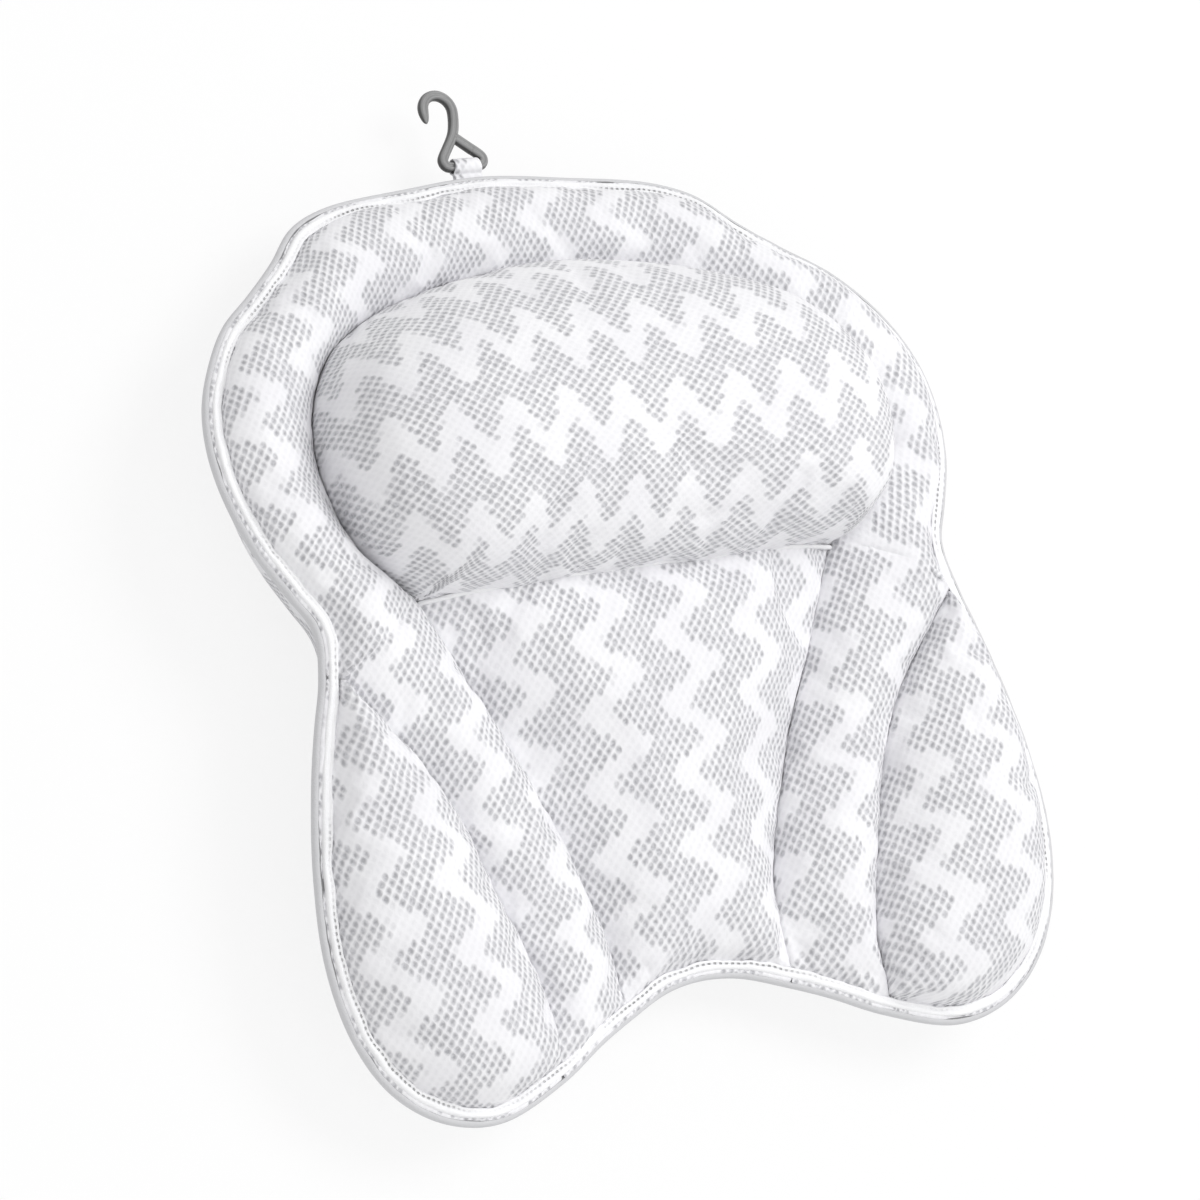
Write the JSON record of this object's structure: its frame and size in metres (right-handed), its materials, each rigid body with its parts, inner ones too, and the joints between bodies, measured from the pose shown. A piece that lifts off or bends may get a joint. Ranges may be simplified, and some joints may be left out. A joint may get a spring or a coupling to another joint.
{
  "type": "bath pillow",
  "caption": "Butterfly-shaped padded mesh bath pillow with a raised head cushion, soft wings, suction cups behind and a swinging hook to hang it up to dry.",
  "frame": {"origin": "under the middle of the bounding box, on the plane of the suction cups' rims", "axes": "+Z out of the front, away from the bath wall; +Y towards the head end and the hook; +X to the right seen from the front"},
  "size_m": [0.3628, 0.4396, 0.1161],
  "materials": {
    "mesh_fabric": "matt white knitted spacer mesh with rows of small holes and raised zigzag bands",
    "fibre_filling": "matt white polyester fibre",
    "lining_cloth": "matt white thin cloth",
    "binding_tape": "satin white folded tape",
    "grey_plastic": "satin mid-grey moulded plastic",
    "white_plastic": "gloss white moulded plastic",
    "clear_vinyl": "glossy clear soft vinyl"
  },
  "bodies": {
    "pad": {"frame_cover": "mesh_fabric", "neck_cover": "mesh_fabric", "left_wing_cover": "mesh_fabric", "right_wing_cover": "mesh_fabric", "head_cushion_cover": "mesh_fabric", "frame_filling": "fibre_filling", "neck_filling": "fibre_filling", "left_wing_filling": "fibre_filling", "right_wing_filling": "fibre_filling", "head_cushion_filling": "fibre_filling", "backing_sheet": "lining_cloth", "back_cover": "mesh_fabric", "edge_binding": "binding_tape", "hanging_loop": "mesh_fabric", "head_left_eyelet": "white_plastic", "head_right_eyelet": "white_plastic", "waist_left_eyelet": "white_plastic", "waist_right_eyelet": "white_plastic", "foot_left_eyelet": "white_plastic", "foot_right_eyelet": "white_plastic"},
    "hook": {"hook": "grey_plastic"},
    "head_left_cup": {"head_left_cup": "clear_vinyl"},
    "head_right_cup": {"head_right_cup": "clear_vinyl"},
    "waist_left_cup": {"waist_left_cup": "clear_vinyl"},
    "waist_right_cup": {"waist_right_cup": "clear_vinyl"},
    "foot_left_cup": {"foot_left_cup": "clear_vinyl"},
    "foot_right_cup": {"foot_right_cup": "clear_vinyl"}
  },
  "joints": [
    {"name": "hook_swing", "type": "hinge", "parent": "pad", "child": "hook", "pos_m": [-0.004, 0.18656, 0.02318], "axis": [1, 0, 0], "range_deg": [-110, 110]},
    {"name": "head_left_cup_turn", "type": "hinge", "parent": "pad", "child": "head_left_cup", "pos_m": [-0.08494, 0.07996, 0], "axis": [0, 0, 1], "continuous": true},
    {"name": "head_right_cup_turn", "type": "hinge", "parent": "pad", "child": "head_right_cup", "pos_m": [0.08494, 0.07996, 0], "axis": [0, 0, 1], "continuous": true},
    {"name": "waist_left_cup_turn", "type": "hinge", "parent": "pad", "child": "waist_left_cup", "pos_m": [-0.07986, -0.02004, 0], "axis": [0, 0, 1], "continuous": true},
    {"name": "waist_right_cup_turn", "type": "hinge", "parent": "pad", "child": "waist_right_cup", "pos_m": [0.07986, -0.02004, 0], "axis": [0, 0, 1], "continuous": true},
    {"name": "foot_left_cup_turn", "type": "hinge", "parent": "pad", "child": "foot_left_cup", "pos_m": [-0.10509, -0.13504, 0], "axis": [0, 0, 1], "continuous": true},
    {"name": "foot_right_cup_turn", "type": "hinge", "parent": "pad", "child": "foot_right_cup", "pos_m": [0.10509, -0.13504, 0], "axis": [0, 0, 1], "continuous": true}
  ]
}
